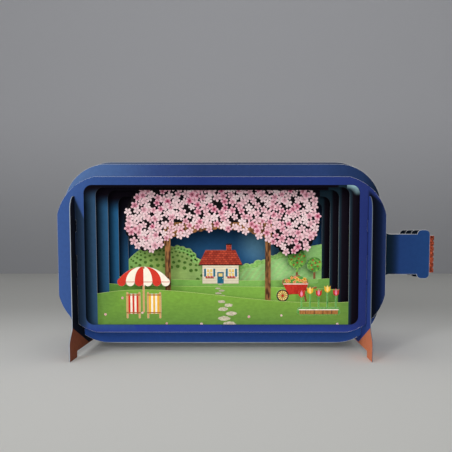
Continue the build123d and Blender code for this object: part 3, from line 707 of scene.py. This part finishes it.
# Deck chairs: striped slings between wooden rails, with a cross bar at the top and one near the foot
chairs = {"stripe": 1.45, "rail": 3.6, "wood": "#D2A56C", "cream": "#F6ECD8",
          "slings": {"left_deck_chair": "#D03A2C", "right_deck_chair": "#E9B032"},
          "barReach": 5.0, "bars": [(17.0, 0.9), (4.2, 0.8)]}  # height and width of each bar
for name, colour in chairs["slings"].items():
    chairX, chairZ = spot(name)
    material, tree, place = startPrint(name.replace("_deck_chair", "DeckChairPrintedCard"))
    x, y, z = addNode(tree, "SeparateXYZ", [place]).outputs
    aside = addNode(tree, "Math", [x, chairX], operation="SUBTRACT")
    fromStripe = addNode(tree, "Math", [aside, chairs["stripe"] / 2], operation="ADD")
    phase = addNode(tree, "Math", [fromStripe, chairs["stripe"] * 2], operation="FLOORED_MODULO")
    striped = addNode(tree, "Math", [phase, chairs["stripe"]], operation="LESS_THAN")
    sling = addNode(tree, "Mix", {0: striped, 6: chairs["cream"], 7: colour})
    offMiddle = addNode(tree, "Math", [aside], operation="ABSOLUTE")
    rail = addNode(tree, "Math", [offMiddle, chairs["rail"]], operation="GREATER_THAN")
    chairColour = addNode(tree, "Mix", {0: rail, 6: sling, 7: chairs["wood"]})
    dress(name, finishPrint(material, place, chairColour), cardFinish["cutOutRim"])
    reach = chairs["barReach"]
    shapes = [("wood", bar(-reach, z, reach, z, width), 1) for z, width in chairs["bars"]]
    printOn(name.replace("_deck_chair", "DeckChairPrint"), name, shapes, (chairX, chairZ))

# Tulips: red and yellow cups on green stems, in a wooden trough. Heights are from the foot of the bed.
tulips = {"pitch": 6.2, "stems": [10.5, 13.0, 11.2, 14.0, 11.6], "foot": 3.0, "lap": 0.8,
          "inks": [("red", "rose"), ("yellow", "lamp")],
          "cup": [(0.0, 0.0), (2.0, 1.4), (2.3, 5.2), (1.0, 3.8), (0.0, 5.6), (-1.0, 3.8), (-2.3, 5.2),
                  (-2.0, 1.4)],
          "petal": [(0, 0.5), (0.85, 2.0), (0.75, 3.7), (0, 5.2), (-0.75, 3.7), (-0.85, 2.0)],
          "leaf": [(0, -1.5), (1.6, 1.5), (2.6, 2.5), (1.3, -1.0)],
          "trough": (13.9, 0.6, 4.1), "rim": (14.4, 3.6, 4.4),  # half length, bottom and top
          "joint": 0.35, "jointsAt": (-1.5, -0.5, 0.5, 1.5)}  # in stem pitches from the middle
dress("tulip_bed", ink("tulipPrintedCard", "#6FB04F", "#478A3D", 1.0, (1, 1, 0.3)), cardFinish["cutOutRim"])
shapes = []
for n, stem in enumerate(tulips["stems"]):
    x, z = (n - len(tulips["stems"]) // 2) * tulips["pitch"], tulips["foot"] + stem - tulips["lap"]
    for outline, inkName, layers in zip(("cup", "petal"), tulips["inks"][n % 2], (1, 2)):
        shapes.append((inkName, [(x + across, z + upward) for across, upward in tulips[outline]], layers))
    for side in (-1, 1):
        leaf = [(x + side * across, tulips["foot"] + upward) for across, upward in tulips["leaf"]]
        shapes.append(("leaf", leaf, 1))
for part, inkName, layers in (("trough", "wood", 2), ("rim", "cream", 3)):
    half, bottom, top = tulips[part]
    shapes.append((inkName, panel(-half, bottom, half, top), layers))
for n in tulips["jointsAt"]:
    x = n * tulips["pitch"]
    shapes.append(("dark", bar(x, tulips["trough"][1], x, tulips["rim"][1], tulips["joint"]), 3))
printOn("tulipPrint", "tulip_bed", shapes, spot("tulip_bed"))
print("parasol, chairs and tulips printed")

# Flower arch: brown bark on posts, beam and braces, and near-black leaf shade behind the blossom
arch = {"left": -41.5, "right": 33.0, "beam": 23.0, "bark": "#9A6A40", "barkDark": "#4E3220",
        "shade": "#0C0A0D", "shadeLight": "#221A1C", "lobesFrom": 40.0, "lobesFoot": -6.0,
        "leavesPerMm": 0.6, "leafContrast": 3, "grainPerMm": 0.9, "grainStretch": (1, 1, 0.28),
        "grainDetail": 4, "grainLacunarity": 0.6, "grainRange": (0.4, 0.6)}
material, tree, place = startPrint("archPrintedCard")
x, y, z = addNode(tree, "SeparateXYZ", [place]).outputs
stretched = addNode(tree, "Mapping", {0: place, 3: arch["grainStretch"]})
grain = addNode(tree, "TexNoise", {0: stretched, 2: arch["grainPerMm"], 3: arch["grainDetail"],
                                   "Lacunarity": arch["grainLacunarity"]})
grained = addNode(tree, "MapRange", [grain, *arch["grainRange"], 0, 1])
bark = addNode(tree, "Mix", {0: grained, 6: arch["barkDark"], 7: arch["bark"]})
leafPick = patchShade(tree, place, arch["leavesPerMm"])
leafDepth = addNode(tree, "Math", [leafPick, arch["leafContrast"]], operation="POWER")
leafy = addNode(tree, "Mix", {0: leafDepth, 6: arch["shade"], 7: arch["shadeLight"]})
centre = (arch["left"] + arch["right"]) / 2
offCentre = addNode(tree, "Math", [x, centre], operation="SUBTRACT")
absOff = addNode(tree, "Math", [offCentre], operation="ABSOLUTE")
outwards = addNode(tree, "Math", [absOff, arch["lobesFrom"]], operation="GREATER_THAN")
raised = addNode(tree, "Math", [z, arch["lobesFoot"]], operation="GREATER_THAN")
lobes = addNode(tree, "Math", [outwards, raised], operation="MULTIPLY")
crown = addNode(tree, "Math", [z, arch["beam"]], operation="GREATER_THAN")
inLeaf = addNode(tree, "Math", [lobes, crown], operation="MAXIMUM")
archColour = addNode(tree, "Mix", {0: inLeaf, 6: bark, 7: leafy})
dress("flower_arch", finishPrint(material, place, archColour, edge=archColour), cardFinish["cutOutRim"])

# Blossoms: five-petalled flowers scattered over a region by Geometry Nodes. The pattern is one flower of
# radius 1. Each petal is an egg-shaped rim about its middle, domed to one point, and so is the eye.
blossom = {"petals": 5, "rimPoints": 8, "middle": 0.56, "halfLength": 0.42, "halfWidth": 0.31,
           "widening": 0.06, "topAt": 0.6, "dome": 0.10, "eye": 0.2, "eyePoints": 6, "eyeDome": 0.16,
           "bands": (0.14, 0.3, 0.6, 1.0)}  # where the colours of eye, throat, petal and tip lie


def flowerMesh(name):
    # one flower facing the viewer; reach runs from 0 at its middle to 1 at a petal's tip
    bm = bmesh.new()

    def domed(rim, top):
        bm.faces.new(rim)
        for k in range(len(rim)):
            bm.faces.new([rim[k], rim[(k + 1) % len(rim)], top])

    for n in range(blossom["petals"]):
        turn = 2 * math.pi * n / blossom["petals"]
        rim = []
        for k in range(blossom["rimPoints"]):
            angle = 2 * math.pi * k / blossom["rimPoints"]
            along = blossom["middle"] + blossom["halfLength"] * math.cos(angle)
            across = (blossom["halfWidth"] + blossom["widening"] * math.cos(angle)) * math.sin(angle)
            rim.append(bm.verts.new((along * math.cos(turn) - across * math.sin(turn), 0,
                                     along * math.sin(turn) + across * math.cos(turn))))
        topAt = blossom["topAt"]
        domed(rim, bm.verts.new((topAt * math.cos(turn), -blossom["dome"], topAt * math.sin(turn))))
    eye = [bm.verts.new((x, 0, z)) for x, z in disc(0, 0, blossom["eye"], count=blossom["eyePoints"])]
    domed(eye, bm.verts.new((0, -blossom["eyeDome"], 0)))
    bmesh.ops.recalc_face_normals(bm, faces=bm.faces)
    mesh = bpy.data.meshes.new(name)
    bm.to_mesh(mesh)
    bm.free()
    reach = mesh.attributes.new("reach", "FLOAT", "POINT")
    reach.data.foreach_set("value", [math.hypot(v.co.x, v.co.z) for v in mesh.vertices])
    return mesh


def blossomMaterial(name, eye, throat, petal, tip, pale):
    # opaque printed blossom: darker throat, petals that lighten to the tip, and no two flowers quite alike
    material, tree = startPrint(name)[:2]
    reach = addNode(tree, "Attribute", attribute_name="reach")
    tint = addNode(tree, "Attribute", attribute_name="tint")
    ramp = addNode(tree, "ValToRGB", [reach.outputs["Fac"]])
    setStops(ramp, list(zip(blossom["bands"], (eye, throat, petal, tip))))
    varnish(tree, addNode(tree, "Mix", {0: tint.outputs["Fac"], 6: ramp, 7: pale}))
    return material


def scatterTree():
    tree = bpy.data.node_groups.new("scatterFlowers", "GeometryNodeTree")
    sockets = {"Region": "Geometry", "Spacing": "Float", "Smallest": "Float", "Largest": "Float",
               "Lift": "Float", "Palest": "Float", "Seed": "Int", "Flower": "Object", "Print": "Material"}
    for name, kind in sockets.items():
        tree.interface.new_socket(name, in_out="INPUT", socket_type="NodeSocket" + kind)
    tree.interface.new_socket("Flowers", in_out="OUTPUT", socket_type="NodeSocketGeometry")
    given = addNode(tree, "NodeGroupInput").outputs
    seeds = [given["Seed"]] + [addNode(tree, "Math", [given["Seed"], n], operation="ADD") for n in (1, 2, 3)]
    cell = addNode(tree, "Math", [given["Spacing"], given["Spacing"]], operation="MULTIPLY")
    density = addNode(tree, "Math", [3.0, cell], operation="DIVIDE")  # three tries for each one that fits
    points = addNode(tree, "GeometryNodeDistributePointsOnFaces",
                     {"Mesh": given["Region"], "Distance Min": given["Spacing"], "Density Max": density,
                      "Seed": seeds[0]}, distribute_method="POISSON")
    ranges = [(given["Smallest"], given["Largest"]), (0.0, 2 * math.pi), (0.0, given["Lift"]),
              (0.0, given["Palest"])]
    size, turn, lift, tint = [
        addNode(tree, "FunctionNodeRandomValue", {2: least, 3: most, 8: seed}, data_type="FLOAT")
        for (least, most), seed in zip(ranges, seeds)]
    shape = addNode(tree, "GeometryNodeObjectInfo", {"Object": given["Flower"]})
    flowers = addNode(tree, "GeometryNodeInstanceOnPoints",
                      {"Points": points, "Instance": shape.outputs["Geometry"],
                       "Rotation": addNode(tree, "CombineXYZ", {1: turn}), "Scale": size})
    forward = addNode(tree, "Math", [lift, -1], operation="MULTIPLY")
    raised = addNode(tree, "GeometryNodeTranslateInstances",
                     {"Instances": flowers, "Local Space": False,
                      "Translation": addNode(tree, "CombineXYZ", {1: forward})})
    tinted = addNode(tree, "GeometryNodeStoreNamedAttribute",
                     {"Geometry": raised, "Name": "tint", "Value": tint},
                     data_type="FLOAT", domain="INSTANCE")
    real = addNode(tree, "GeometryNodeRealizeInstances", {"Geometry": tinted})
    printed = addNode(tree, "GeometryNodeSetMaterial", {"Geometry": real, "Material": given["Print"]})
    addNode(tree, "NodeGroupOutput", [printed])
    return tree


scatter = scatterTree()
flower = addObject("flowerPattern", flowerMesh("flowerPattern"))


def scatterOn(name, carrier, values, outline, petals, origin=(0, 0)):
    # scatters flowers over an outline on the carrier's face, bakes them to one plain mesh, and cuts it off
    # level at a height, where one is given
    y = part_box(carrier)[0].y - values["gap"] * mm
    corners = [(axisX + (origin[0] + x) * mm, y, axisZ + (origin[1] + z) * mm) for x, z in outline]
    mesh = bpy.data.meshes.new(name)
    mesh.from_pydata(corners, [], [range(len(corners))])
    if mesh.polygons[0].normal.y > 0:
        mesh.flip_normals()
    host = addObject(name, mesh)
    modifier = host.modifiers.new("scatter", "NODES")
    modifier.node_group = scatter
    given = {key: values[key.lower()] * mm for key in ("Spacing", "Smallest", "Largest", "Lift")}
    given.update({"Palest": values["palest"], "Seed": values["seed"], "Flower": flower, "Print": petals})
    for item in scatter.interface.items_tree:
        if item.in_out == "INPUT" and item.name in given:
            modifier[item.identifier] = given[item.name]
    baked = bpy.data.meshes.new_from_object(host.evaluated_get(bpy.context.evaluated_depsgraph_get()))
    host.modifiers.remove(modifier)
    if "trim" in values:
        bm = bmesh.new()
        bm.from_mesh(baked)
        level = (0, 0, axisZ + values["trim"] * mm)
        cut = bmesh.ops.bisect_plane(bm, geom=bm.verts[:] + bm.edges[:] + bm.faces[:], clear_outer=True,
                                     plane_co=level, plane_no=(0, 0, 1))["geom_cut"]
        bmesh.ops.holes_fill(bm, edges=[edge for edge in cut if isinstance(edge, bmesh.types.BMEdge)])
        bm.to_mesh(baked)
        bm.free()
    host.data = baked
    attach(host, "root")
    print(name, len(baked.polygons), "faces")


# The arch's canopy: pink blossom, packed close. Sizes are radii, gap is how far the region stands off the
# card, lift the most that a flower is raised from it, palest the most that one fades, and trim the height
# at which the canopy is cut level.
canopy = {
    "spacing": 3.35, "smallest": 2.5, "largest": 3.4, "gap": 0.03, "lift": 0.35, "palest": 0.85, "seed": 7,
    "trim": 46.6,
    "outline": [(-56.9, 51.0), (-68.4, 39.2), (-72.9, 24.0), (-66.2, 6.0), (-51.5, 2.3), (-42.2, 9.7),
                (-21.4, 16.4), (0.0, 18.8), (19.1, 15.8), (34.2, 9.1), (46.4, 0.3), (61.8, 4.2),
                (70.9, 19.5), (68.7, 37.0), (61.0, 51.0)],
}
pinkPetals = blossomMaterial("pinkBlossomInk", "#7C1F3A", "#C65C7B", "#E59EB0", "#EDC2CA", "#F1DEDC")
scatterOn("archBlossoms", "flower_arch", canopy, canopy["outline"], pinkPetals)

# The barrow's load: small yellow flowers in a heap
heap = {"spacing": 1.7, "smallest": 1.3, "largest": 1.8, "gap": 0.08, "lift": 0.15, "palest": 1.0, "seed": 3,
        "outline": [(-7.6, 7.0), (8.8, 7.2), (8.0, 9.2), (3.6, 11.0), (-2.8, 10.6), (-7.2, 8.6)]}
heapPetals = blossomMaterial("yellowBlossomInk", "#A2591A", "#E59A2A", "#F3C24B", "#F8DE8A", "#F0876A")
scatterOn("barrowBlossoms", "wheelbarrow", heap, heap["outline"], heapPetals, barrowPlace)

# Daisies: a few small flat pink ones on each side of the lawn
daisies = {
    "spacing": 15.0, "smallest": 0.8, "largest": 1.2, "gap": 0.03, "lift": 0.0, "palest": 1.0, "seed": 11,
    "outlines": {"Left": [(-86, -51), (-12, -51), (-8, -36), (-28, -33), (-60, -29.5), (-86, -31)],
                 "Right": [(20, -51), (86, -51), (86, -37), (40, -37), (14, -35.5)]},
}
lawnPetals = blossomMaterial("lawnBlossomInk", "#C9762E", "#E8A0A8", "#E88E9E", "#F0B3BC", "#F6DADA")
for side, outline in daisies["outlines"].items():
    scatterOn("lawnBlossoms" + side, "lawn_frame", daisies, outline, lawnPetals)
bpy.data.objects.remove(flower)

# Stepping stones from the front of the lawn to the cottage door, each a disc with a slightly uneven rim
stones = {
    "corners": 14, "wobble": (0.12, 0.1), "wobbleTurns": (5, 3),
    "lawn_frame": [(5, -50.5, 4.5, 2.0), (1, -46.4, 4.2, 1.8), (6, -42.8, 3.8, 1.6),  # middle and half sizes
                   (0, -39.6, 3.5, 1.4), (4, -36.8, 3.1, 1.2), (-1, -34.2, 2.8, 1.0)],
    "meadow_frame": [(-1, -32.0, 2.5, 0.9), (-4, -29.8, 2.3, 0.8), (-1.5, -27.8, 2.1, 0.75),
                     (-4.5, -26.1, 1.9, 0.6)],
    "field_frame": [(-3, -24.6, 1.7, 0.6), (-5, -23.2, 1.6, 0.5), (-3, -22.0, 1.5, 0.45)],
}
sideWobble, upWobble = stones["wobble"]
sideTurn, upTurn = stones["wobbleTurns"]
for carrier in ("lawn_frame", "meadow_frame", "field_frame"):
    shapes = []
    for n, (x, z, across, up) in enumerate(stones[carrier]):
        ring = []
        for k, (rimX, rimZ) in enumerate(disc(x, z, across, up, stones["corners"])):
            ring.append((rimX + sideWobble * across * math.sin(sideTurn * k + n),
                         rimZ + upWobble * up * math.cos(upTurn * k + n)))
        shapes.append(("stone", ring, 1))
    printOn(carrier.replace("_frame", "PathPrint"), carrier, shapes)
print("blossoms and path printed")
